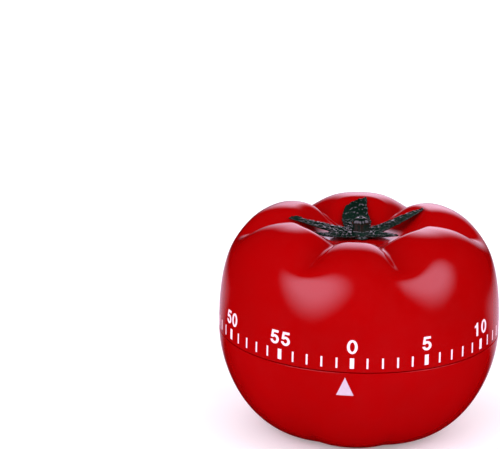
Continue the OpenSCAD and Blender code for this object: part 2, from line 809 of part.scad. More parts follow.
module top_plate() {
    color([0.83, 0.7, 0.4])
    translate([0, 0, top_plate_height]) linear_extrude(plate_thickness) difference() {
        circle(r = plate_radius);
        circle(d = spindle_diameter + 2 * running_play);
        pivot_holes(concat(thin_pivots, [hammer_place]), pivot_diameter + 2 * running_play);
        translate(pallet_place) circle(d = thin_arbor + 2 * running_play);
        for (b = pillar_bearings) translate(place(pillar_circle, b)) circle(d = pillar_thread);
        translate(place(lever_circle, lever_bearing)) circle(d = stud_thread);
        translate(place(stop_circle, stop_bearing)) circle(d = stop_diameter);
        translate(spring_foot) circle(d = spring_foot_diameter);
    }
}

module plate_pillars() {
    color([0.75, 0.75, 0.78]) for (b = pillar_bearings) {
        at(pillar_circle, b, plate_top) cylinder(d = pillar_diameter, h = top_plate_height - plate_top);
        at(pillar_circle, b, plate_height)
            cylinder(d = pillar_thread, h = movement_top + 1.6 - plate_height);
    }
}

module pillar_nuts() {
    color([0.8, 0.66, 0.3]) for (b = pillar_bearings) at(pillar_circle, b, movement_top)
        difference() {
            cylinder(d = 2.1 * pillar_thread, h = 1.3, $fn = 6);
            translate([0, 0, -1]) cylinder(d = pillar_thread, h = 4);
        }
}

module movement_screws() {
    color([0.75, 0.75, 0.78]) for (b = screw_bearings) at(boss_circle, b, plate_top) difference() {
        union() {
            translate([0, 0, screw_floor + 0.4 - plate_top])
                cylinder(d = screw_diameter, h = plate_top - screw_floor - 0.4);
            cylinder(d = 1.8 * screw_diameter, h = head_height);
        }
        translate([-screw_diameter, -head_slot / 2, head_height / 2])
            cube([2 * screw_diameter, head_slot, head_height]);
    }
}

// ---------- bell ----------

// Half section of the bell skin at a distance inside its outer face, from the axis to the rim
function bell_section(inset) =
    let (corner = [bell_radius - bell_corner, bell_foot_height + bell_corner])
    concat([[screw_diameter / 2, bell_foot_height + inset]],
        [for (angle = [-90 : 15 : 0]) corner + place(bell_corner - inset, angle)],
        [[bell_radius - inset, bell_rim_height]]);

module bell() {
    outer = bell_section(0);
    color([0.8, 0.8, 0.84]) rotate_extrude() polygon(concat(
        bell_section(bell_wall), [for (i = [len(outer) - 1 : -1 : 0]) outer[i]]));
}

module bell_post() {
    foot = bell_foot_height + bell_wall;
    color([0.75, 0.75, 0.78]) difference() {
        union() {
            translate([0, 0, foot]) cylinder(d = post_diameter, h = plate_height - foot);
            translate([0, 0, foot]) cylinder(d = post_spigot, h = plate_top - foot);
        }
        translate([0, 0, plate_height]) cylinder(d = arbor_pivot + 2 * running_play, h = plate_thickness + 1);
        translate([0, 0, foot - 1]) cylinder(d = screw_diameter, h = 5);
    }
}

module bell_screw() {
    color([0.75, 0.75, 0.78]) difference() {
        union() {
            translate([0, 0, bell_foot_height - 0.8]) cylinder(d = 2 * screw_diameter, h = 0.8);
            translate([0, 0, bell_foot_height - 0.1]) cylinder(d = screw_diameter, h = 4.2);
        }
        translate([-screw_diameter, -head_slot / 2, bell_foot_height - 1.3])
            cube([2 * screw_diameter, head_slot, 0.9]);
    }
}

// ---------- going train ----------

module second_arbor() {
    color([0.75, 0.75, 0.78]) at(great_distance, second_bearing, 0) {
        thin_shaft(plate_height, movement_top);
        translate([0, 0, great_floor - mesh_overhang]) rotate(second_phase)
            gear(pinion_leaves, great_module, profile_shift, wheel_thickness + 2 * mesh_overhang);
    }
}

module second_wheel() {
    color([0.85, 0.7, 0.32]) at(great_distance, second_bearing, second_floor) rotate(second_phase)
        spoked_wheel(wheel_teeth, second_module, thin_wheel, thin_arbor, 4, second_hub);
}

module third_arbor() {
    color([0.75, 0.75, 0.78]) at(third_circle, third_bearing, 0) {
        thin_shaft(plate_height, movement_top);
        translate([0, 0, second_floor - mesh_overhang / 2]) rotate(third_phase)
            gear(pinion_leaves, second_module, profile_shift, thin_wheel + mesh_overhang);
    }
}

module third_wheel() {
    color([0.85, 0.7, 0.32]) at(third_circle, third_bearing, third_floor) rotate(third_phase)
        spoked_wheel(wheel_teeth, third_module, thin_wheel, thin_arbor, 4, third_hub);
}

module escape_arbor() {
    color([0.75, 0.75, 0.78]) at(escape_circle, escape_bearing, 0) {
        thin_shaft(plate_height, movement_top);
        translate([0, 0, third_floor - mesh_overhang / 2]) rotate(escape_phase)
            gear(pinion_leaves, third_module, profile_shift, thin_wheel + mesh_overhang);
    }
}

module escape_wheel() {
    color([0.85, 0.7, 0.32]) at(escape_circle, escape_bearing, escape_floor) rotate(escape_tooth)
        pointed_wheel(escape_teeth, escape_radius, thin_wheel, thin_arbor);
}

// ---------- pallets and balance ----------

module pallet_arbor() {
    color([0.75, 0.75, 0.78]) translate(pallet_place) {
        translate([0, 0, plate_height]) cylinder(d = pivot_diameter, h = 2);
        translate([0, 0, plate_top + end_play])
            cylinder(d = thin_arbor, h = cam_floor + cam_thickness - plate_top);
    }
}

module pallet_anchor() {
    color([0.8, 0.66, 0.3]) at(escape_circle, escape_bearing, anchor_floor) rotate(escape_tooth)
        linear_extrude(anchor_thickness) anchor(escape_radius, escape_teeth, pallet_span, pallet_distance);
}

module pallet_pins() {
    color([0.6, 0.6, 0.64]) at(escape_circle, escape_bearing, escape_floor - 0.2) rotate(escape_tooth)
        anchor_pins(escape_radius, escape_teeth, pallet_span);
}

module balance_bar() {
    color([0.8, 0.66, 0.3]) translate(concat(pallet_place, [cam_floor])) rotate(pallet_bearing + 90)
        difference() {
            union() {
                linear_extrude(cam_thickness) bar([-balance_half, 0], [balance_half, 0], balance_width);
                cylinder(d = collar_diameter, h = cam_thickness);
                for (side = [-1, 1]) translate([side * balance_half, 0, -0.4])
                    cylinder(d = balance_weight, h = cam_thickness + 0.4);
            }
            translate([0, 0, -1]) cylinder(d = thin_arbor, h = cam_thickness + 2);
        }
}

// ---------- striking ----------

module strike_arbor() {
    color([0.75, 0.75, 0.78]) at(great_distance, strike_bearing, 0) {
        thin_shaft(plate_height, movement_top);
        translate([0, 0, great_floor - mesh_overhang]) rotate(strike_phase)
            gear(pinion_leaves, great_module, profile_shift, wheel_thickness + 2 * mesh_overhang);
    }
}

module strike_wheel() {
    color([0.85, 0.7, 0.32]) at(great_distance, strike_bearing, escape_floor) rotate(star_tooth)
        pointed_wheel(star_teeth, star_radius, thin_wheel, thin_arbor);
}

module hammer_arbor() {
    color([0.75, 0.75, 0.78]) translate(hammer_place) {
        translate([0, 0, arm_floor]) cylinder(d = thin_arbor, h = top_plate_height - end_play - arm_floor);
        translate([0, 0, top_plate_height - 1]) cylinder(d = pivot_diameter, h = plate_thickness + 1);
    }
}

module hammer_anchor() {
    color([0.8, 0.66, 0.3]) at(great_distance, strike_bearing, anchor_floor) rotate(star_tooth)
        linear_extrude(anchor_thickness) anchor(star_radius, star_teeth, hammer_span, hammer_distance);
}

module hammer_pins() {
    color([0.6, 0.6, 0.64]) at(great_distance, strike_bearing, escape_floor - 0.2) rotate(star_tooth)
        anchor_pins(star_radius, star_teeth, hammer_span);
}

hammer_head_place = hammer_place + place(hammer_length, hammer_bearing + hammer_lean);

module hammer_arm() {
    color([0.6, 0.6, 0.64]) translate([0, 0, arm_floor]) linear_extrude(arm_thickness) difference() {
        union() {
            bar(hammer_place, hammer_head_place, 1.2);
            translate(hammer_place) circle(d = collar_diameter);
            translate(hammer_head_place) circle(d = hammer_diameter);
        }
        translate(hammer_place) circle(d = thin_arbor);
        translate(hammer_head_place) circle(d = head_spigot);
    }
}

module hammer_head() {
    color([0.8, 0.66, 0.3]) translate(concat(hammer_head_place, [hammer_floor])) {
        cylinder(d = hammer_diameter, h = arm_floor - hammer_floor);
        cylinder(d = head_spigot, h = arm_floor + arm_thickness - hammer_floor);
    }
}

// ---------- zero release ----------

lever_place = place(lever_circle, lever_bearing);
lever_elbow = place(cam_radius + 2.6, nose_bearing);
lever_nose = place(cam_radius + cam_play + nose_width / 2, nose_bearing);
lever_tail = lever_place + place(lever_tail_length, lever_bearing + 10);
spring_foot = lever_place + place(spring_foot_reach, lever_bearing - 60);

module release_lever() {
    color([0.7, 0.7, 0.74]) translate([0, 0, cam_floor + 0.05]) linear_extrude(cam_thickness - 0.1)
        difference() {
            union() {
                bar(lever_place, lever_elbow, lever_width);
                bar(lever_elbow, lever_nose, nose_width);
                bar(lever_place, lever_tail, lever_width);
                translate(lever_place) circle(d = lever_hub);
            }
            translate(lever_place) circle(d = stud_diameter + 2 * running_play);
        }
}

module lever_stud() {
    color([0.75, 0.75, 0.78]) translate(concat(lever_place, [top_plate_height])) {
        cylinder(d = stud_thread, h = plate_thickness + 1);
        translate([0, 0, plate_thickness])
            cylinder(d = collar_diameter, h = cam_floor - movement_top - 0.1);
        translate([0, 0, plate_thickness])
            cylinder(d = stud_diameter, h = cam_floor + cam_thickness - movement_top + 0.1);
        translate([0, 0, cam_floor + cam_thickness - top_plate_height + 0.1])
            cylinder(d = collar_diameter, h = 0.3);
    }
}

module release_spring() {
    color([0.55, 0.56, 0.6]) translate(concat(spring_foot, [0])) {
        translate([0, 0, top_plate_height])
            cylinder(d = spring_foot_diameter, h = cam_floor + cam_thickness - top_plate_height);
        translate([0, 0, cam_floor]) linear_extrude(cam_thickness - 0.2)
            rotate(line_bearing(spring_foot, lever_nose + place(2.4, lever_bearing - 60)))
                translate([0, -release_strip / 2])
                    square([norm(lever_nose - spring_foot) * 0.55, release_strip]);
    }
}

module stop_pin() {
    color([0.75, 0.75, 0.78]) at(stop_circle, stop_bearing, top_plate_height)
        cylinder(d = stop_diameter, h = stop_floor + stop_thickness - top_plate_height);
}

base_shell();
dial_shell();
calyx();
main_arbor();
ratchet_wheel();
release_cam();
arbor_circlip();
great_wheel();
click();
click_rivets();
click_spring();
mainspring();
spring_post();
bottom_plate();
top_plate();
plate_pillars();
pillar_nuts();
movement_screws();
bell();
bell_post();
bell_screw();
second_arbor();
second_wheel();
third_arbor();
third_wheel();
escape_arbor();
escape_wheel();
pallet_arbor();
pallet_anchor();
pallet_pins();
balance_bar();
strike_arbor();
strike_wheel();
hammer_arbor();
hammer_anchor();
hammer_pins();
hammer_arm();
hammer_head();
release_lever();
lever_stud();
release_spring();
stop_pin();
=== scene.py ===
"""Looks of a tomato-shaped wind-up kitchen timer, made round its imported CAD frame.

Lengths in the tables and helpers are millimetres; MM turns them into Blender's metres.
Azimuths are degrees from -Y towards +X, as seen from above.
"""

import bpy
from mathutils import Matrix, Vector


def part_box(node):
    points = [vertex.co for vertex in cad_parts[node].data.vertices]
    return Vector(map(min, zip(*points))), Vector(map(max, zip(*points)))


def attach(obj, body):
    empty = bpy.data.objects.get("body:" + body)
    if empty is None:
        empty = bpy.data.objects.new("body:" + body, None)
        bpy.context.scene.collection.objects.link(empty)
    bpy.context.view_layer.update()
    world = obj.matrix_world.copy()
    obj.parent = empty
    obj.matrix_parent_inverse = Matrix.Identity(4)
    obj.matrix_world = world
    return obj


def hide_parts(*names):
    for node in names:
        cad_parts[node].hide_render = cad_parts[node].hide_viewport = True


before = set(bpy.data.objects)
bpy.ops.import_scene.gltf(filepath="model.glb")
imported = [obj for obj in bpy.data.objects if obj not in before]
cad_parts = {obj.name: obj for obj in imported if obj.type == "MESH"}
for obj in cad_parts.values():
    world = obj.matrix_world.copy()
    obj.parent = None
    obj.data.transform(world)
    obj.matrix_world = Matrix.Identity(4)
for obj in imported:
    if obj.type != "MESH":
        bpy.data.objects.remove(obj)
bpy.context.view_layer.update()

import math

import bmesh
import bpy
import numpy as np
from mathutils import Matrix, Vector, noise

MM = 0.001

# ---------- dimensions shared with the CAD part ----------

SEAM_GAP = 0.3
BODY_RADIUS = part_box("base_shell")[1].x / MM
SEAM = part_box("base_shell")[1].z / MM + SEAM_GAP / 2
LIP_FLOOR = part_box("dial_shell")[0].z / MM
REST_RADIUS = 15.5
BASE_WALL = 1.8
DIAL_WALL = 2.0
LIP_PLAY = 0.3
LIP_WALL = 1.0
CREASES = (-85.3, -20.8, 24.2, 94.7, 153.7, 218.7)
LOBE_RISE = (0.0, -1.4, 0.0, 0.0, 0.0, 0.0)
CREST_HEIGHT = 26.9
CREST_RADIUS = 17.5
SHOULDER_POWER = 2.6
CREASE_DROP = 4.6
CREASE_RADIUS = 16.0
CREASE_POWER = 3.0
CREASE_SHOULDER_POWER = 2.5
CREASE_START = 16.0
CREASE_FULL = 26.5
CREASE_BLUR = 0.08
CREASE_SOFTENING = 0.4
DIMPLE_HEIGHT = 21.9
DIMPLE_RADIUS = 6.5
DIMPLE_POWER = 1.5
BASE_SIDE_POWER = 1.92
BASE_FOOT_POWER = 1.86
FLUTE_DEPTH = 1.4
FLUTE_POWER = 2.4
FLUTE_FADE = 1.6
HUB_RADIUS = 4.5
BOSS_RADIUS = 2.5
BOSS_BEARINGS = (102, 222, 342)

# ---------- surfaces ----------


def stations(per_lobe):
    """Azimuth, position across the lobe and lobe number of evenly graded stations round the body."""
    ends = CREASES[1:] + (CREASES[0] + 360,)
    across = np.sin(np.pi / 2 * (2 * np.arange(per_lobe) / per_lobe - 1))
    azimuth = [low + (high - low) * (across + 1) / 2 for low, high in zip(CREASES, ends)]
    lobe = np.repeat(np.arange(len(CREASES)), per_lobe)
    return np.concatenate(azimuth), np.tile(across, len(CREASES)), lobe


def locate(azimuth):
    """Position across the lobe and lobe number for any azimuths."""
    azimuth = np.asarray(azimuth, float)
    turned = (azimuth - CREASES[0]) % 360 + CREASES[0]
    edges = np.array(CREASES + (CREASES[0] + 360,))
    lobe = np.clip(np.searchsorted(edges, turned, side="right") - 1, 0, len(CREASES) - 1)
    return 2 * (turned - edges[lobe]) / (edges[lobe + 1] - edges[lobe]) - 1, lobe


def crease_share(across, power, blur=CREASE_BLUR):
    """How far a station lies down its crease, from 0 on the crest to 1."""
    near = np.hypot(1 - np.abs(across), blur) / np.hypot(1, blur)
    return np.maximum(0, 1 - near) ** power


def lobe_lift(lobe, share, blur=CREASE_BLUR):
    """Height that a lobe adds to its crest, fading to nothing in its creases."""
    return np.array(LOBE_RISE)[lobe] * (1 - share / crease_share(1.0, CREASE_POWER, blur))


def smooth(value, low, high):
    t = np.clip((value - low) / (high - low), 0, 1)
    return t * t * (3 - 2 * t)


def shoulder_point(across, lobe, phi, inset=0.0):
    """Radius and height above the seam of the dial's outside at slope angle phi in radians."""
    side = BODY_RADIUS - inset
    top = CREST_HEIGHT - inset

    def profile(top_radius, top_height, power):
        radius = top_radius + (side - top_radius) * np.cos(phi) ** (2 / power)
        return radius, top_height * np.sin(phi) ** (2 / power)

    crest = profile(CREST_RADIUS, top, SHOULDER_POWER)
    crease = profile(CREASE_RADIUS, top - CREASE_DROP, CREASE_SHOULDER_POWER)
    grown = smooth(crest[1], CREASE_START, CREASE_FULL)
    blur = CREASE_BLUR + CREASE_SOFTENING * (1 - grown)
    full = crease_share(across, CREASE_POWER, blur)
    depth = full * grown
    radius = crest[0] * (1 - depth) + crease[0] * depth
    height = crest[1] * (1 - depth) + crease[1] * depth
    return radius, height + lobe_lift(lobe, full, blur) * (height / CREST_HEIGHT) ** 2


def dimple_share(t):
    """Share of the dimple's depth that is left above its floor, from its rim at t = 0."""
    return (0.5 + 0.5 * np.cos(np.pi * t)) ** DIMPLE_POWER


def dimple_point(across, lobe, t, inset=0.0):
    """Radius and height above the seam of the dimple wall, from its rim at t = 0 to its floor."""
    depth = crease_share(across, CREASE_POWER)
    top_radius = CREST_RADIUS * (1 - depth) + CREASE_RADIUS * depth
    top_height = CREST_HEIGHT - inset - CREASE_DROP * depth + lobe_lift(lobe, depth)
    floor = DIMPLE_HEIGHT - inset
    return top_radius - (top_radius - DIMPLE_RADIUS) * t, floor + (top_height - floor) * dimple_share(t)


def dimple_surface(azimuth, radius):
    """Height above the seam of the dimple wall under a point of the calyx."""
    across, lobe = locate(azimuth)
    depth = crease_share(across, CREASE_POWER)
    top_radius = CREST_RADIUS * (1 - depth) + CREASE_RADIUS * depth
    t = np.clip((top_radius - radius) / (top_radius - DIMPLE_RADIUS), 0, 1)
    return dimple_point(across, lobe, t)[1]


def base_point(across, phi, inset=0.0):
    """Radius and height above the seam of the base at slope angle phi in radians."""
    height = (SEAM - inset) * np.sin(phi) ** (2 / BASE_FOOT_POWER)
    radius = REST_RADIUS + (BODY_RADIUS - inset - REST_RADIUS) * np.cos(phi) ** (2 / BASE_SIDE_POWER)
    flute = FLUTE_DEPTH * crease_share(across, FLUTE_POWER) * (height / SEAM) ** FLUTE_FADE
    return radius - flute, -height


def in_space(azimuth, radius, height):
    """Points in the row frame, in millimetres, from azimuths, radii and heights above the seam."""
    angle = np.radians(azimuth)
    height = np.broadcast_to(height, np.shape(angle)) + SEAM
    return np.stack([radius * np.sin(angle), -radius * np.cos(angle), height], -1)


# ---------- mesh helpers ----------


def add_mesh(name, points, faces, material, sharp_angle=30):
    """Mesh object from points in millimetres, smooth apart from edges over the sharp angle."""
    mesh = bpy.data.meshes.new(name)
    mesh.from_pydata([tuple(p * MM) for p in np.asarray(points, float)], [], faces)
    mesh.validate()
    bm = bmesh.new()
    bm.from_mesh(mesh)
    bmesh.ops.recalc_face_normals(bm, faces=bm.faces)
    bm.to_mesh(mesh)
    bm.free()
    mesh.shade_smooth()
    if sharp_angle:
        mesh.set_sharp_from_angle(angle=math.radians(sharp_angle))
    piece = bpy.data.objects.new(name, mesh)
    bpy.context.scene.collection.objects.link(piece)
    mesh.materials.append(material)
    return piece


def stack_faces(count, rings, closed_ends=True):
    """Quads between stacked rings of count points, and fans to one pole point past each end."""
    faces = []
    for ring in range(rings - 1):
        for step in range(count):
            after = (step + 1) % count
            low, high = ring * count, (ring + 1) * count
            faces.append((low + step, low + after, high + after, high + step))
    if closed_ends:
        first, last, end = rings * count, rings * count + 1, (rings - 1) * count
        for step in range(count):
            after = (step + 1) % count
            faces.append((first, after, step))
            faces.append((last, end + step, end + after))
    return faces


def add_skin(name, rings, first_pole, last_pole, material, sharp_angle=30):
    points = np.concatenate([np.concatenate(rings), [first_pole, last_pole]])
    return add_mesh(name, points, stack_faces(len(rings[0]), len(rings)), material, sharp_angle)


def slab_faces(rows, columns):
    """Faces of a slab between two grids of rows by columns points, the front grid first."""
    back = rows * columns
    faces = []
    for row in range(rows - 1):
        for column in range(columns - 1):
            a = row * columns + column
            faces.append((a, a + 1, a + columns + 1, a + columns))
            faces.append((back + a, back + a + columns, back + a + columns + 1, back + a + 1))
    border = [*range(columns), *[row * columns + columns - 1 for row in range(1, rows)],
              *[(rows - 1) * columns + column for column in range(columns - 2, -1, -1)],
              *[row * columns for row in range(rows - 2, 0, -1)]]
    for a, b in zip(border, border[1:] + border[:1]):
        faces.append((a, a + back, b + back, b))
    return faces


def round_angles(sides):
    """Even angles round a circle, in radians."""
    return 2 * np.pi * np.arange(sides) / sides


def level_ring(angle, radius, height):
    """Ring of points at one height above the floor; the radius may change with the angle."""
    return np.stack([radius * np.cos(angle), radius * np.sin(angle), np.full(len(angle), height)], -1)


def turned_rings(profile, sides):
    """Rings of a turned solid from (radius, height above the floor) pairs."""
    return [level_ring(round_angles(sides), radius, height) for radius, height in profile]


def join(pieces, name):
    """One object from several, keeping the first one's data."""
    bpy.ops.object.select_all(action="DESELECT")
    for piece in pieces:
        piece.select_set(True)
    bpy.context.view_layer.objects.active = pieces[0]
    bpy.ops.object.join()
    pieces[0].name = name
    return pieces[0]


# ---------- materials ----------


def new_material(name):
    material = bpy.data.materials.new(name)
    material.use_nodes = True
    nodes = material.node_tree.nodes
    return material, nodes, material.node_tree.links, nodes["Principled BSDF"]


def noise_node(nodes, links, scale, detail, stretch=(1, 1, 1)):
    """Noise on object coordinates; stretch lengthens the grain along an axis."""
    place = nodes.new("ShaderNodeTexCoord")
    mapping = nodes.new("ShaderNodeMapping")
    mapping.inputs["Scale"].default_value = stretch
    pattern = nodes.new("ShaderNodeTexNoise")
    pattern.inputs["Scale"].default_value = scale
    pattern.inputs["Detail"].default_value = detail
    links.new(place.outputs["Object"], mapping.inputs["Vector"])
    links.new(mapping.outputs["Vector"], pattern.inputs["Vector"])
    return pattern.outputs["Fac"]


def ramp(nodes, links, source, low, high, low_at=0.35, high_at=0.65, interpolation="LINEAR"):
    """Colour ramp between two colours."""
    scale = nodes.new("ShaderNodeValToRGB")
    scale.color_ramp.interpolation = interpolation
    scale.color_ramp.elements[0].position = low_at
    scale.color_ramp.elements[1].position = high_at
    scale.color_ramp.elements[0].color = (*low, 1)
    scale.color_ramp.elements[1].color = (*high, 1)
    links.new(source, scale.inputs["Fac"])
    return scale.outputs["Color"]


def bump(nodes, links, source, shader, strength, distance):
    relief = nodes.new("ShaderNodeBump")
    relief.inputs["Strength"].default_value = strength
    relief.inputs["Distance"].default_value = distance
    links.new(source, relief.inputs["Height"])
    links.new(relief.outputs["Normal"], shader.inputs["Normal"])


def gloss_plastic(name, dark, light, roughness):
    """Moulded plastic: slow colour drift, faint orange peel and uneven gloss."""
    material, nodes, links, shader = new_material(name)
    drift = noise_node(nodes, links, 38, 3)
    links.new(ramp(nodes, links, drift, dark, light, 0.3, 0.7), shader.inputs["Base Color"])
    smear = noise_node(nodes, links, 240, 5)
    low, high = (roughness * 0.85,) * 3, (roughness * 1.25,) * 3
    links.new(ramp(nodes, links, smear, low, high), shader.inputs["Roughness"])
    bump(nodes, links, noise_node(nodes, links, 420, 2), shader, 0.06, 0.0001)
    shader.inputs["IOR"].default_value = 1.5
    return material


def brushed_metal(name, dark, light, roughness, stretch, grain=0.15):
    """Metal with a directional grain and slightly dull patches."""
    material, nodes, links, shader = new_material(name)
    shader.inputs["Metallic"].default_value = 1.0
    lines = noise_node(nodes, links, 900, 4, stretch)
    patches = noise_node(nodes, links, 160, 4)
    links.new(ramp(nodes, links, patches, dark, light), shader.inputs["Base Color"])
    low, high = (roughness * 0.7,) * 3, (roughness * 1.4,) * 3
    links.new(ramp(nodes, links, lines, low, high), shader.inputs["Roughness"])
    bump(nodes, links, lines, shader, grain, 0.00005)
    return material


def printed_ink(name, dark, light):
    """Pad-printed ink: slightly uneven cover and a satin surface."""
    material, nodes, links, shader = new_material(name)
    cover = noise_node(nodes, links, 1400, 3)
    links.new(ramp(nodes, links, cover, dark, light, 0.25, 0.6), shader.inputs["Base Color"])
    links.new(ramp(nodes, links, cover, (0.32,) * 3, (0.5,) * 3), shader.inputs["Roughness"])
    bump(nodes, links, cover, shader, 0.1, 0.00003)
    return material


def leaf_plastic(name):
    """Dark green calyx: paler worn patches among near-black ones at random, with a fine vein relief."""
    material, nodes, links, shader = new_material(name)
    place = nodes.new("ShaderNodeTexCoord")
    cells = nodes.new("ShaderNodeTexVoronoi")
    cells.feature = "DISTANCE_TO_EDGE"
    cells.inputs["Scale"].default_value = 900
    links.new(place.outputs["Object"], cells.inputs["Vector"])
    worn = noise_node(nodes, links, 260, 4)
    base = ramp(nodes, links, worn, (0.001, 0.006, 0.003), (0.004, 0.02, 0.012), 0.3, 0.75)
    links.new(base, shader.inputs["Base Color"])
    links.new(ramp(nodes, links, worn, (0.12,) * 3, (0.26,) * 3), shader.inputs["Roughness"])
    bump(nodes, links, cells.outputs["Distance"], shader, 0.18, 0.00012)
    shader.inputs["Specular IOR Level"].default_value = 0.6
    return material


# ---------- the two moulded halves ----------

PER_LOBE = 60
SHOULDER_RINGS = 70
SHOULDER_GRADING = 1.3
DIMPLE_RINGS = 36
BASE_RINGS = 64
INNER_SHOULDER_RINGS, INNER_DIMPLE_RINGS, INNER_BASE_RINGS = 20, 10, 24
EDGE_ROUND = 0.12
EDGE_ANGLES = (0, 22.5, 45, 67.5, 90)
VISIBLE_GAP = 0.2
HUB_SIDES = 64
HUB_GAP = 0.4
HUB_CHAMFER = 0.3
SPINDLE_HOLE_RADIUS = 2.05
RIM_RECESS = 3.0
BOSS_SIDES = 40
BOSS_CHAMFER = 0.2


def rounded_rim(azimuth, side):
    """Rings of the small rounded edge at the seam, for the dial (side 1) or the base (side -1)."""
    rings = []
    for angle in np.radians(EDGE_ANGLES):
        radius = BODY_RADIUS - EDGE_ROUND * (1 - math.cos(angle))
        height = side * (VISIBLE_GAP / 2 + EDGE_ROUND * (1 - math.sin(angle)))
        rings.append(in_space(azimuth, radius, height))
    return rings


def make_dial(material):
    azimuth, across, lobe = stations(PER_LOBE)
    lip_outer = BODY_RADIUS - BASE_WALL - LIP_PLAY
    lip_inner = lip_outer - LIP_WALL
    lip_floor = LIP_FLOOR - SEAM
    rings = []
    for t in np.linspace(1, 0, DIMPLE_RINGS, endpoint=False):
        radius, height = dimple_point(across, lobe, t)
        rings.append(in_space(azimuth, radius, height))
    low_edge = VISIBLE_GAP / 2 + EDGE_ROUND
    for slope in np.linspace(1, 0, SHOULDER_RINGS, endpoint=False):
        phi = np.pi / 2 * slope**SHOULDER_GRADING
        radius, height = shoulder_point(across, lobe, phi)
        if height.min() > low_edge:
            rings.append(in_space(azimuth, radius, height))
    rings += rounded_rim(azimuth, 1)
    lip = ((lip_outer, VISIBLE_GAP / 2), (lip_outer, lip_floor), (lip_inner, lip_floor),
           (lip_inner, -lip_floor))
    for radius, height in lip:
        rings.append(in_space(azimuth, radius, height))
    for phi in np.radians(np.linspace(20, 90, INNER_SHOULDER_RINGS, endpoint=False)):
        radius, height = shoulder_point(across, lobe, phi, DIAL_WALL)
        rings.append(in_space(azimuth, radius, height))
    for t in np.linspace(0, 1, INNER_DIMPLE_RINGS):
        radius, height = dimple_point(across, lobe, t, DIAL_WALL)
        rings.append(in_space(azimuth, radius, height))
    top = SEAM + DIMPLE_HEIGHT
    dial = add_skin("dial_skin", rings, (0, 0, top), (0, 0, top - DIAL_WALL), material)
    return dial, make_hub(top - DIAL_WALL, material)


def make_hub(top, material):
    """Socket under the dial that takes the spindle of the main arbor."""
    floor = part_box("arbor_circlip")[1].z / MM + HUB_GAP
    hole = SPINDLE_HOLE_RADIUS
    rings = turned_rings([(hole, floor), (HUB_RADIUS - HUB_CHAMFER, floor),
                          (HUB_RADIUS, floor + HUB_CHAMFER), (HUB_RADIUS, top), (hole, top)], HUB_SIDES)
    faces = stack_faces(HUB_SIDES, len(rings), closed_ends=False)
    last = (len(rings) - 1) * HUB_SIDES
    for step in range(HUB_SIDES):
        after = (step + 1) % HUB_SIDES
        faces.append((last + step, last + after, after, step))
    return add_mesh("dial_hub", np.concatenate(rings), faces, material)


def make_base(material):
    azimuth, across, _ = stations(PER_LOBE)
    rim_inner = BODY_RADIUS - BASE_WALL
    rings = [in_space(azimuth, rim_inner, -VISIBLE_GAP / 2)]
    rings += rounded_rim(azimuth, -1)[::-1]
    low_edge = VISIBLE_GAP / 2 + EDGE_ROUND
    for phi in np.radians(np.linspace(0, 90, BASE_RINGS))[1:]:
        radius, height = base_point(across, phi)
        if height.max() < -low_edge:
            rings.append(in_space(azimuth, radius, height))
    outside = rings[::-1]
    inside = [in_space(azimuth, rim_inner, -RIM_RECESS)]
    for phi in np.radians(np.linspace(14, 90, INNER_BASE_RINGS)):
        radius, height = base_point(across, phi, BASE_WALL)
        inside.append(in_space(azimuth, radius, height))
    base = add_skin("base_skin", outside + inside, (0, 0, 0), (0, 0, BASE_WALL), material)
    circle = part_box("bottom_plate")[1].x / MM - BOSS_RADIUS
    bosses = [make_boss(bearing, circle, material) for bearing in BOSS_BEARINGS]
    return base, bosses


def make_boss(bearing, circle, material):
    """Screw boss whose foot follows the middle of the base wall."""
    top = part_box("bottom_plate")[0].z / MM
    slopes = np.radians(np.linspace(90, 20, 90))
    wall_radius, wall_height = base_point(np.zeros(90), slopes, BASE_WALL / 2)
    centre = circle * np.array([math.cos(math.radians(bearing)), math.sin(math.radians(bearing))])
    rings = []
    for radius, share in ((BOSS_RADIUS, 0.0), (BOSS_RADIUS, 0.95), (BOSS_RADIUS - BOSS_CHAMFER, 1.0)):
        ring = turned_rings([(radius, 0)], BOSS_SIDES)[0]
        ring[:, :2] += centre
        foot = np.interp(np.hypot(ring[:, 0], ring[:, 1]), wall_radius, wall_height + SEAM)
        ring[:, 2] = foot + (top - foot) * share
        rings.append(ring)
    foot = float(np.interp(circle, wall_radius, wall_height + SEAM))
    return add_skin(f"screw_boss_{bearing}", rings, (*centre, foot), (*centre, top), material)


# ---------- printing ----------

INK_PROUD = 0.04
INK_SUNK = 0.05
ZERO_OFFSET = 2.58
TICK_LOW, TICK_HIGH = 1.06, 3.46
THIN_TICK, WIDE_TICK = 0.40, 0.95
NUMERAL_BASE, NUMERAL_HEIGHT, NUMERAL_WIDEN = 4.56, 3.08, 1.11
DIGIT_ADVANCE = 0.86
INK_CELL = 0.45
INK_CUTS = 8
INK_COLUMNS = (-1, -0.33, 0.33, 1)
POINTER_TOP, POINTER_HEIGHT, POINTER_WIDTH = -1.2, 4.4, 4.0
POINTER_TIP = 0.04


def dial_radius(azimuth, height):
    """Radius of the dial at a height above the seam, the same all round below the creases."""
    share = np.clip(np.asarray(height) / CREST_HEIGHT, 0, 1)
    phi = np.arcsin(share ** (SHOULDER_POWER / 2))
    return CREST_RADIUS + (BODY_RADIUS - CREST_RADIUS) * np.cos(phi) ** (2 / SHOULDER_POWER)


def base_radius(azimuth, height):
    """Radius of the base at a height above the seam, which is negative here."""
    share = np.clip(-np.asarray(height) / SEAM, 0, 1)
    phi = np.arcsin(share ** (BASE_FOOT_POWER / 2))
    radius = REST_RADIUS + (BODY_RADIUS - REST_RADIUS) * np.cos(phi) ** (2 / BASE_SIDE_POWER)
    across, _ = locate(azimuth)
    return radius - FLUTE_DEPTH * crease_share(across, FLUTE_POWER) * share**FLUTE_FADE


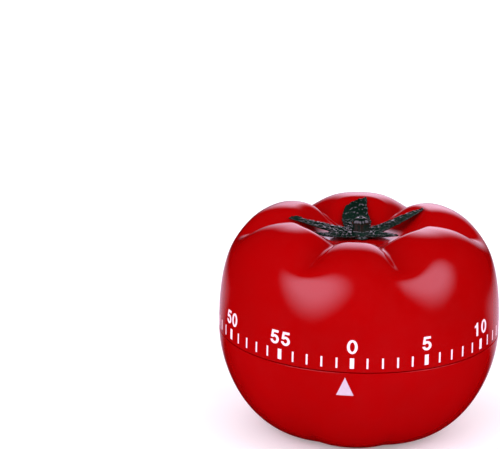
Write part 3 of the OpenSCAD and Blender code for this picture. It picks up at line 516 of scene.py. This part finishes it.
def wrap(points, azimuth, radius_at):
    """Lays flat (across, up, proud) points round the body about an azimuth."""
    points = np.asarray(points, float)
    angle = azimuth + np.degrees(points[:, 0] / BODY_RADIUS)
    radius = radius_at(angle, points[:, 1]) + points[:, 2]
    return in_space(angle, radius, points[:, 1])


def flat_slab(outline, steps):
    """Flat ink slab in rows that can follow the body; outline gives low, high and half width."""
    front, back = [], []
    for share in np.linspace(0, 1, steps):
        low, high, half = outline(share)
        y = low + (high - low) * share
        for side in INK_COLUMNS:
            front.append((half * side, y, INK_PROUD))
            back.append((half * side, y, -INK_SUNK))
    return front + back, slab_faces(steps, len(INK_COLUMNS))


def make_ticks(material):
    points, faces = [], []
    for minute in range(60):
        half = (WIDE_TICK if minute % 5 == 0 else THIN_TICK) / 2
        slab, slab_faces = flat_slab(lambda share: (TICK_LOW, TICK_HIGH, half), 5)
        faces += [tuple(len(points) + i for i in face) for face in slab_faces]
        points += list(wrap(slab, ZERO_OFFSET + 6 * minute, dial_radius))
    return add_mesh("minute_marks", points, faces, material)


def make_pointer(material):
    def outline(share):
        half = POINTER_WIDTH / 2 * (1 - share)
        return POINTER_TOP - POINTER_HEIGHT, POINTER_TOP, max(POINTER_TIP, half)

    slab, faces = flat_slab(outline, 9)
    return add_mesh("pointer_mark", wrap(slab, 0, base_radius), faces, material)


def arc(x, y, rx, ry, start, end):
    """Points along an ellipse arc between two angles in degrees."""
    count = max(4, int(abs(end - start) / 12))
    angle = np.radians(np.linspace(start, end, count))
    return [(x + rx * math.cos(a), y + ry * math.sin(a)) for a in angle]


# Outlines of the digits at a height of 1, outer ones first and then any hole
DIGITS = {
    "0": [arc(0.35, 0.5, 0.35, 0.52, 0, 348), arc(0.35, 0.5, 0.165, 0.36, 0, 348)],
    "1": [[(0.24, 0), (0.44, 0), (0.44, 1), (0.29, 1), (0.24, 0.88), (0.06, 0.81), (0.06, 0.66),
           (0.24, 0.7)]],
    "2": [arc(0.35, 0.68, 0.34, 0.33, 175, -32) + [(0.31, 0.17), (0.69, 0.17), (0.69, 0), (0.01, 0)]
          + arc(0.33, 0.67, 0.16, 0.17, -48, 180)],
    "3": [arc(0.35, 0.73, 0.32, 0.28, 170, -42) + arc(0.35, 0.29, 0.345, 0.3, 48, -172)
          + arc(0.35, 0.3, 0.155, 0.16, -172, 80) + [(0.27, 0.46), (0.27, 0.6)]
          + arc(0.34, 0.73, 0.14, 0.14, -72, 170)],
    "4": [[(0.42, 0), (0.61, 0), (0.61, 0.22), (0.73, 0.22), (0.73, 0.38), (0.61, 0.38), (0.61, 1),
           (0.43, 1), (0.01, 0.4), (0.01, 0.22), (0.42, 0.22)],
          [(0.42, 0.38), (0.17, 0.38), (0.42, 0.75)]],
    "5": [[(0.13, 1), (0.64, 1), (0.64, 0.83), (0.27, 0.83), (0.245, 0.64)]
          + arc(0.35, 0.32, 0.34, 0.345, 105, -170) + arc(0.35, 0.32, 0.15, 0.175, -165, 140)
          + [(0.05, 0.45)]],
}


def numeral_mesh(text):
    """Numeral of height 1 as a thin flat slab, centred on its width and cut into small cells."""
    curve = bpy.data.curves.new("numeral", "CURVE")
    curve.dimensions, curve.fill_mode, curve.extrude = "2D", "BOTH", 0.02
    shift = -(DIGIT_ADVANCE * (len(text) - 1) + 0.7) / 2
    for place, digit in enumerate(text):
        for outline in DIGITS[digit]:
            spline = curve.splines.new("POLY")
            spline.points.add(len(outline) - 1)
            spline.use_cyclic_u = True
            for point, (x, y) in zip(spline.points, outline):
                point.co = (x + shift + DIGIT_ADVANCE * place, y, 0, 1)
    shape = bpy.data.objects.new("numeral", curve)
    bpy.context.scene.collection.objects.link(shape)
    bpy.context.view_layer.update()
    mesh = bpy.data.meshes.new_from_object(shape.evaluated_get(bpy.context.evaluated_depsgraph_get()))
    bpy.data.objects.remove(shape)
    bm = bmesh.new()
    bm.from_mesh(mesh)
    bmesh.ops.remove_doubles(bm, verts=bm.verts, dist=1e-5)
    cell = INK_CELL / NUMERAL_HEIGHT
    for axis in ((1, 0, 0), (0, 1, 0)):
        for step in range(-INK_CUTS, INK_CUTS + 1):
            cut = Vector(axis) * step * cell
            bmesh.ops.bisect_plane(bm, geom=bm.verts[:] + bm.edges[:] + bm.faces[:],
                                   plane_co=cut, plane_no=axis)
    bm.verts.index_update()
    points = np.array([v.co[:] for v in bm.verts])
    faces = [tuple(v.index for v in face.verts) for face in bm.faces]
    bm.free()
    return points, faces


def make_numerals(material):
    points, faces = [], []
    for minute in range(0, 60, 5):
        flat, flat_faces = numeral_mesh(str(minute))
        laid = np.stack([flat[:, 0] * NUMERAL_HEIGHT * NUMERAL_WIDEN,
                         flat[:, 1] * NUMERAL_HEIGHT + NUMERAL_BASE,
                         np.where(flat[:, 2] > 0, INK_PROUD, -INK_SUNK)], -1)
        faces += [tuple(len(points) + i for i in face) for face in flat_faces]
        points += list(wrap(laid, ZERO_OFFSET + 6 * minute, dial_radius))
    return add_mesh("minute_numerals", points, faces, material)


# ---------- calyx ----------

CALYX_FLOOR = DIMPLE_HEIGHT
CALYX_THICKNESS = 1.1
LEAF_GAP = 0.25
STEM_LENGTH = 3.5
STEM_FOOT, STEM_TOP, STEM_ROUND = 2.1, 1.9, 1.35
REMESH_VOXEL = 0.16
LEAF_ROWS, LEAF_COLUMNS = 44, 13
LEAF_TAPER = 0.7
LEAF_RIPPLE = 0.05
LEAF_ARCH = 0.15
RIB_HEIGHT, RIB_WIDTH = 0.25, 0.4
VEIN_HEIGHT, VEIN_CELL, VEIN_WIDTH, VEIN_STRETCH = 0.3, 1.25, 0.35, 2.5

# Each sepal: azimuth of its axis, then stations of distance from the stem, sideways shift towards
# growing azimuth, half width and height of the upper face above the dimple floor
LEAVES = (
    (-91, ((0.5, 0, 2.4, 1.1), (4, 0, 2.3, 1.5), (7, 0.1, 2.2, 2.0), (10, 0.1, 2.0, 2.6),
           (13.5, 0, 1.3, 3.3), (15.5, -0.1, 0.7, 3.6), (17.0, -0.2, 0.1, 3.6))),
    (-62, ((0.5, 0, 2.6, 1.1), (4, 0.4, 2.5, 1.3), (7.4, 0.2, 1.7, 1.4), (9.8, 0, 1.0, 1.6),
           (12.1, 0, 0.2, 2.2))),
    (77, ((0.5, 0, 2.6, 1.1), (4, 0, 2.1, 1.2), (6.4, -0.1, 1.3, 1.3), (9.3, -0.2, 0.2, 1.5))),
    (119, ((0.5, 0, 2.4, 1.1), (4.3, 0, 2.1, 1.6), (6.7, 0, 1.9, 2.2), (9.1, 0, 1.8, 3.0),
           (11.4, 0, 1.6, 3.8), (13.8, 0, 1.1, 4.6), (16.3, 0, 0.2, 5.3))),
    (180, ((0.5, 0.5, 2.6, 1.1), (5, 1.3, 3.2, 1.2), (8.5, 1.75, 3.5, 1.5), (10.5, 2.1, 3.2, 2.1),
           (12, 2.2, 2.8, 3.1), (13.3, 1.95, 2.3, 3.9), (14.5, 1.3, 1.5, 4.7), (15.5, 0.3, 0.2, 5.3))),
)


def leaf_shape(azimuth, stations_along, phase):
    """Closed solid of one sepal that follows its stations and stays clear of the dimple wall."""
    angle = math.radians(azimuth)
    radial = np.array([math.sin(angle), -math.cos(angle)])
    side = np.array([math.cos(angle), math.sin(angle)])
    table = np.array(stations_along)
    top, bottom = [], []
    for row in range(LEAF_ROWS):
        share = row / (LEAF_ROWS - 1)
        reach = table[0, 0] + (table[-1, 0] - table[0, 0]) * share
        shift, half, level = (np.interp(reach, table[:, 0], table[:, i]) for i in (1, 2, 3))
        half *= 1 + LEAF_RIPPLE * math.sin(phase + 40 * share) * share
        thick = CALYX_THICKNESS * (1 - LEAF_TAPER * share)
        for column in range(LEAF_COLUMNS):
            t = 2 * column / (LEAF_COLUMNS - 1) - 1
            spot = radial * reach + side * (shift + half * t)
            radius = float(np.hypot(*spot))
            wall = float(dimple_surface(math.degrees(math.atan2(spot[0], -spot[1])), radius))
            rib = RIB_HEIGHT * math.exp(-((t * half / RIB_WIDTH) ** 2)) * (1 - share)
            face = max(CALYX_FLOOR + level - LEAF_ARCH * t * t, wall + LEAF_GAP + thick)
            top.append((*spot, SEAM + face + rib))
            bottom.append((*spot, SEAM + max(face - thick * (1 - 0.5 * abs(t) ** 3), CALYX_FLOOR)))
    return top + bottom, slab_faces(LEAF_ROWS, LEAF_COLUMNS)


def stem_shape():
    """Short lumpy stem with a flared foot, a rounded head and a hollow in its top."""
    angle = round_angles(72)
    floor = SEAM + CALYX_FLOOR + 0.3
    top = SEAM + CALYX_FLOOR + CALYX_THICKNESS + STEM_LENGTH
    lumps = 0.10 * np.cos(5 * angle + 0.4) + 0.05 * np.cos(3 * angle + 1)
    profile = []
    for share in np.linspace(0, 1, 20):
        radius = STEM_FOOT + (STEM_TOP - STEM_FOOT) * share + 1.6 * math.exp(-share * 9)
        waist = 0.15 * math.sin(math.pi * share)
        profile.append((radius - waist, floor + (top - STEM_ROUND - floor) * share, 1))
    for turn in np.radians([15, 30, 45, 60, 75, 90]):
        radius = STEM_TOP - STEM_ROUND * (1 - math.cos(turn))
        profile.append((radius, top - STEM_ROUND * (1 - math.sin(turn)), 1))
    profile += [(0.4, top - 0.1, 0.7), (0.2, top - 0.3, 0.4)]
    rings = [level_ring(angle, radius * (1 + lumps * uneven), height)
             for radius, height, uneven in profile]
    points = np.concatenate(rings + [[(0, 0, floor), (0, 0, top - 0.35)]])
    return points, stack_faces(len(angle), len(rings))


def disc_shape():
    """Lumpy disc that the sepals grow from."""
    angle = round_angles(96)
    edge = 3.3 + 0.15 * np.cos(5 * angle + 0.6) + 0.08 * np.cos(9 * angle)
    floor = SEAM + CALYX_FLOOR
    levels = ((0.9, 0), (1.0, 0.3), (1.0, 0.8), (0.9, 1.1), (0.5, 1.35))
    rings = [level_ring(angle, share * edge, floor + height) for share, height in levels]
    points = np.concatenate(rings + [[(0, 0, floor), (0, 0, floor + 1.4)]])
    return points, stack_faces(len(angle), len(rings))


def emboss(mesh):
    """Raises a net of veins on the upward faces of a mesh in millimetres, clear of the stem."""
    floor = SEAM + CALYX_FLOOR
    for vertex in mesh.vertices:
        x, y, z = vertex.co
        spot = Vector((x / VEIN_CELL, y / VEIN_CELL, z / (VEIN_CELL * VEIN_STRETCH)))
        distances = noise.voronoi(spot, distance_metric="DISTANCE")[0]
        ridge = 1 - min(1.0, (distances[1] - distances[0]) / VEIN_WIDTH)
        facing = min(1.0, max(0.0, 1.5 * vertex.normal.z))
        on_leaf = min(1.0, max(0.0, (math.hypot(x, y) - 2.4) / 0.6))
        above = min(1.0, max(0.0, (z - floor - 0.4) / 0.4))
        vertex.co += vertex.normal * VEIN_HEIGHT * (ridge - 0.4) * facing * on_leaf * above


def make_calyx(material):
    """One moulded piece: disc, stem and sepals fused by a fine remesh, then embossed."""
    shapes = [disc_shape(), stem_shape()]
    for number, leaf in enumerate(LEAVES):
        shapes.append(leaf_shape(*leaf, phase=1.7 * number))
    parts = []
    for number, (points, faces) in enumerate(shapes):
        parts.append(add_mesh(f"calyx_part_{number}", np.asarray(points) / MM, faces, material, 0))
    calyx = join(parts, "calyx_leaves")
    calyx.data.remesh_voxel_size = REMESH_VOXEL
    calyx.data.remesh_voxel_adaptivity = 0
    bpy.ops.object.voxel_remesh()
    soften = calyx.modifiers.new("soften", "SMOOTH")
    soften.factor, soften.iterations = 0.5, 2
    bpy.ops.object.modifier_apply(modifier="soften")
    emboss(calyx.data)
    calyx.data.transform(Matrix.Scale(MM, 4))
    calyx.data.shade_smooth()
    if not calyx.data.materials:
        calyx.data.materials.append(material)
    return calyx


# ---------- movement ----------


def dress(names, material):
    """Gives carried-over CAD nodes a procedural material."""
    for name in names:
        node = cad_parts[name]
        for slot in node.material_slots:
            slot.material = material


MOVEMENT = {
    "plate": ("bottom_plate", "top_plate"),
    "wheel": ("great_wheel", "second_wheel", "third_wheel", "escape_wheel", "strike_wheel",
              "ratchet_wheel", "release_cam", "pallet_anchor", "hammer_anchor", "balance_bar",
              "pillar_nuts", "hammer_head"),
    "steel": ("main_arbor", "second_arbor", "third_arbor", "escape_arbor", "pallet_arbor",
              "strike_arbor", "hammer_arbor", "pallet_pins", "hammer_pins", "plate_pillars",
              "movement_screws", "bell_post", "bell_screw", "lever_stud", "stop_pin", "spring_post",
              "click", "click_rivets", "hammer_arm", "release_lever"),
    "spring": ("mainspring", "click_spring", "release_spring", "arbor_circlip"),
    "bell": ("bell",),
}


def dress_movement():
    brass = ((0.62, 0.42, 0.14), (0.80, 0.58, 0.24))
    dress(MOVEMENT["plate"], brushed_metal("plate_brass_looks", *brass, 0.3, (1, 12, 1)))
    dress(MOVEMENT["wheel"], brushed_metal("wheel_brass_looks", *brass, 0.22, (6, 1, 1), 0.08))
    steel = ((0.42, 0.43, 0.45), (0.62, 0.63, 0.65))
    dress(MOVEMENT["steel"], brushed_metal("turned_steel_looks", *steel, 0.25, (1, 1, 14), 0.1))
    blued = ((0.05, 0.07, 0.13), (0.12, 0.15, 0.24))
    dress(MOVEMENT["spring"], brushed_metal("spring_steel_looks", *blued, 0.25, (1, 1, 10), 0.05))
    nickel = ((0.66, 0.65, 0.62), (0.80, 0.79, 0.77))
    dress(MOVEMENT["bell"], brushed_metal("bell_nickel_looks", *nickel, 0.12, (1, 1, 1), 0.03))


# ---------- studio ----------

# Camera fitted to the minute scale: bearing round the timer, height angle, distance, roll, lens,
# and how far right of and below the picture's centre the middle of the scale ring stands.
CAMERA_AZIMUTH, CAMERA_ELEVATION = 4.7, 18.914
CAMERA_DISTANCE = 15.755 * 33
CAMERA_ROLL = 1.4158
CAMERA_LENS, SENSOR = 157.86, 36.0
RING_RIGHT, RING_DOWN = 108.58 / 500, 91.1 / 500
RING_ABOVE_SEAM = 2.26
AMBIENT = 1.0
LIGHT_COLOUR = (1.0, 0.79, 1.04)
SOFTBOX_DISTANCE = 0.9
SOFTBOX_AIM = Vector((0, 0, 0.035))
FLOOR_REACH = 40000

# Each softbox: bearing and height angle it stands at, the angles it fills, radiance and softness
SOFTBOXES = {
    "left_softbox": (-37, 30, (66, 70), 3.2, 0.7),
    "right_softbox": (72, 32, (60, 66), 3.0, 0.7),
    "back_wall": (180, 15, (54, 60), 2.2, 1.0),
    "far_table": (180, -19, (110, 20), 0.8, 0.9),
}


def direction(azimuth, elevation):
    a, e = math.radians(azimuth), math.radians(elevation)
    return Vector((math.sin(a) * math.cos(e), -math.cos(a) * math.cos(e), math.sin(e)))


def make_camera():
    camera = bpy.data.objects.new("camera", bpy.data.cameras.new("camera"))
    bpy.context.scene.collection.objects.link(camera)
    camera.data.lens, camera.data.sensor_width = CAMERA_LENS, SENSOR
    camera.data.clip_start, camera.data.clip_end = 0.01, 20
    back = direction(CAMERA_AZIMUTH, CAMERA_ELEVATION)
    target = Vector((0, 0, (SEAM + RING_ABOVE_SEAM) * MM))
    facing = (-back).to_track_quat("-Z", "Y").to_matrix()
    focal = CAMERA_LENS / SENSOR
    seen = Vector((RING_RIGHT / focal, -RING_DOWN / focal, -1)).normalized()
    swing = seen.rotation_difference(Vector((0, 0, -1))).to_matrix()
    turn = facing @ Matrix.Rotation(math.radians(CAMERA_ROLL), 3, "Z") @ swing
    camera.matrix_world = Matrix.Translation(target + back * CAMERA_DISTANCE * MM) @ turn.to_4x4()
    bpy.context.scene.camera = camera


def add_softbox(name, azimuth, elevation, size, radiance, soft):
    """Rectangular light that fills an angle of size degrees; soft fades it towards its edge."""
    light = bpy.data.lights.new(name, "AREA")
    width, height = (2 * SOFTBOX_DISTANCE * math.tan(math.radians(angle / 2)) for angle in size)
    light.shape, light.size, light.size_y = "RECTANGLE", width, height
    light.energy, light.color = radiance * math.pi * width * height, LIGHT_COLOUR
    lamp = bpy.data.objects.new(name, light)
    bpy.context.scene.collection.objects.link(lamp)
    towards = direction(azimuth, elevation)
    lamp.location = SOFTBOX_AIM + towards * SOFTBOX_DISTANCE
    lamp.rotation_mode = "QUATERNION"
    lamp.rotation_quaternion = towards.to_track_quat("Z", "Y")
    lamp.visible_camera = False
    fade_softbox(light, soft)


def fade_softbox(light, soft):
    """Lets a softbox fall off from its middle to its rim, as its front cloth does."""
    light.use_nodes = True
    nodes, links = light.node_tree.nodes, light.node_tree.links
    place = nodes.new("ShaderNodeNewGeometry")
    centred = nodes.new("ShaderNodeMapping")
    centred.inputs["Location"].default_value = (-1, -1, 0)
    centred.inputs["Scale"].default_value = (2, 2, 0)
    length = nodes.new("ShaderNodeVectorMath")
    length.operation = "LENGTH"
    links.new(place.outputs["Parametric"], centred.inputs["Vector"])
    links.new(centred.outputs["Vector"], length.inputs[0])
    fall = ramp(nodes, links, length.outputs["Value"], (1, 1, 1), (0, 0, 0), 1 - soft, 1.0, "EASE")
    links.new(fall, nodes["Emission"].inputs["Strength"])


def make_floor():
    """Wide flat pale floor, lifted a little so that it stays white under the object."""
    material, nodes, links, shader = new_material("floor_paper")
    grain = noise_node(nodes, links, 60, 4)
    paper = ramp(nodes, links, grain, (0.86, 0.86, 0.87), (0.9, 0.9, 0.9))
    links.new(paper, shader.inputs["Base Color"])
    shader.inputs["Roughness"].default_value = 0.9
    shader.inputs["Specular IOR Level"].default_value = 0.1
    shader.inputs["Emission Color"].default_value = (1, 1, 1, 1)
    shader.inputs["Emission Strength"].default_value = 0.2
    reach = FLOOR_REACH
    points = [(-reach, -reach, 0), (reach, -reach, 0), (reach, reach, 0), (-reach, reach, 0)]
    floor = add_mesh("floor", points, [(0, 1, 2, 3)], material, 0)
    floor.visible_glossy = False


def light_world():
    """Pale surroundings, darker towards the back, which the gloss doesn't mirror."""
    world = bpy.data.worlds.new("studio")
    bpy.context.scene.world = world
    world.use_nodes = True
    nodes, links = world.node_tree.nodes, world.node_tree.links
    background = nodes["Background"]
    place = nodes.new("ShaderNodeTexCoord")
    split = nodes.new("ShaderNodeSeparateXYZ")
    links.new(place.outputs["Generated"], split.inputs["Vector"])
    shade = ramp(nodes, links, split.outputs["Y"], (1, 1, 1), (0.72, 0.72, 0.72), 0.0, 0.9)
    links.new(shade, background.inputs["Color"])
    background.inputs["Strength"].default_value = AMBIENT
    world.cycles_visibility.glossy = False


def make_studio():
    make_camera()
    make_floor()
    light_world()
    for name, settings in SOFTBOXES.items():
        add_softbox(name, *settings)
    bpy.context.scene.view_settings.view_transform = "Standard"


# ---------- assembly ----------


def main():
    make_studio()
    dress_movement()
    red = gloss_plastic("red_plastic_looks", (0.29, 0.0, 0.0004), (0.325, 0.0, 0.0008), 0.09)
    ink = printed_ink("scale_ink", (0.84, 0.64, 0.74), (0.92, 0.72, 0.84))
    pink = printed_ink("pointer_ink", (0.52, 0.40, 0.50), (0.58, 0.45, 0.56))
    leaf = leaf_plastic("calyx_plastic_looks")

    dial, hub = make_dial(red)
    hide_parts("dial_shell")
    base, bosses = make_base(red)
    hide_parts("base_shell")
    calyx = make_calyx(leaf)
    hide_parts("calyx")
    for piece in (dial, hub, calyx):
        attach(piece, "dial")
    for piece in (base, *bosses):
        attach(piece, "base")
    for piece in (make_ticks(ink), make_numerals(ink)):
        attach(piece, "dial")
    pointer = make_pointer(pink)
    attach(pointer, "base")


main()
